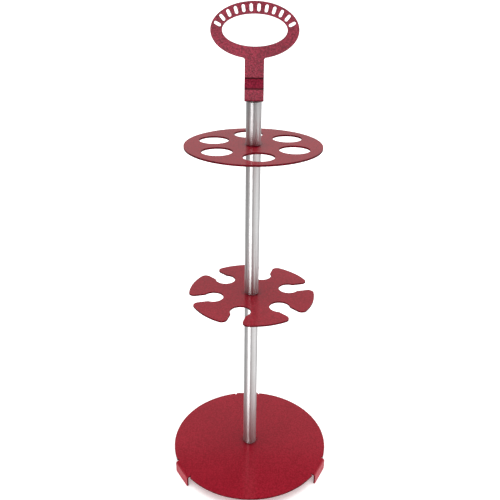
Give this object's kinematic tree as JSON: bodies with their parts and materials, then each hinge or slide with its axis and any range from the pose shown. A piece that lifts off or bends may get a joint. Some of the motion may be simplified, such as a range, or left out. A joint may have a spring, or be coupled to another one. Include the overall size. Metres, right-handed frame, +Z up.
{
  "type": "woodturning tool stand",
  "caption": "Free-standing carry stand for long-handled turning tools: footed round base, bright pole, plate of open keyhole slots, plate of round holes, oval sheet-metal carry handle.",
  "frame": {"origin": "on the floor, on the pole's axis", "axes": "+Z up along the pole; the handle's flat face looks towards -Y; +X is to the right seen from the front"},
  "size_m": [0.305, 0.3084, 0.857],
  "materials": {
    "red_powder_coat": "glossy deep-red powder coat with a fine hammered texture",
    "bright_tube": "bright drawn tube, satin to polished",
    "zinc_fastener": "dull zinc plate"
  },
  "bodies": {
    "frame": {"base_plate": "red_powder_coat", "handle": "red_powder_coat", "lower_pole": "bright_tube", "middle_pole": "bright_tube", "upper_pole": "bright_tube", "lower_pole_bottom_plug": "zinc_fastener", "lower_pole_top_plug": "zinc_fastener", "middle_pole_bottom_plug": "zinc_fastener", "middle_pole_top_plug": "zinc_fastener", "upper_pole_bottom_plug": "zinc_fastener", "upper_pole_top_plug": "zinc_fastener", "lower_joining_stud": "zinc_fastener", "upper_joining_stud": "zinc_fastener", "base_washer": "zinc_fastener", "base_bolt": "zinc_fastener", "handle_washer": "zinc_fastener", "handle_bolt": "zinc_fastener"},
    "keyhole_plate": {"keyhole_plate": "red_powder_coat"},
    "hole_plate": {"hole_plate": "red_powder_coat"}
  },
  "joints": [
    {"name": "keyhole_plate_turn", "type": "hinge", "parent": "frame", "child": "keyhole_plate", "pos_m": [0, 0, 0.3671], "axis": [0, 0, 1], "continuous": true},
    {"name": "hole_plate_turn", "type": "hinge", "parent": "frame", "child": "hole_plate", "pos_m": [0, 0, 0.6397], "axis": [0, 0, 1], "continuous": true}
  ]
}
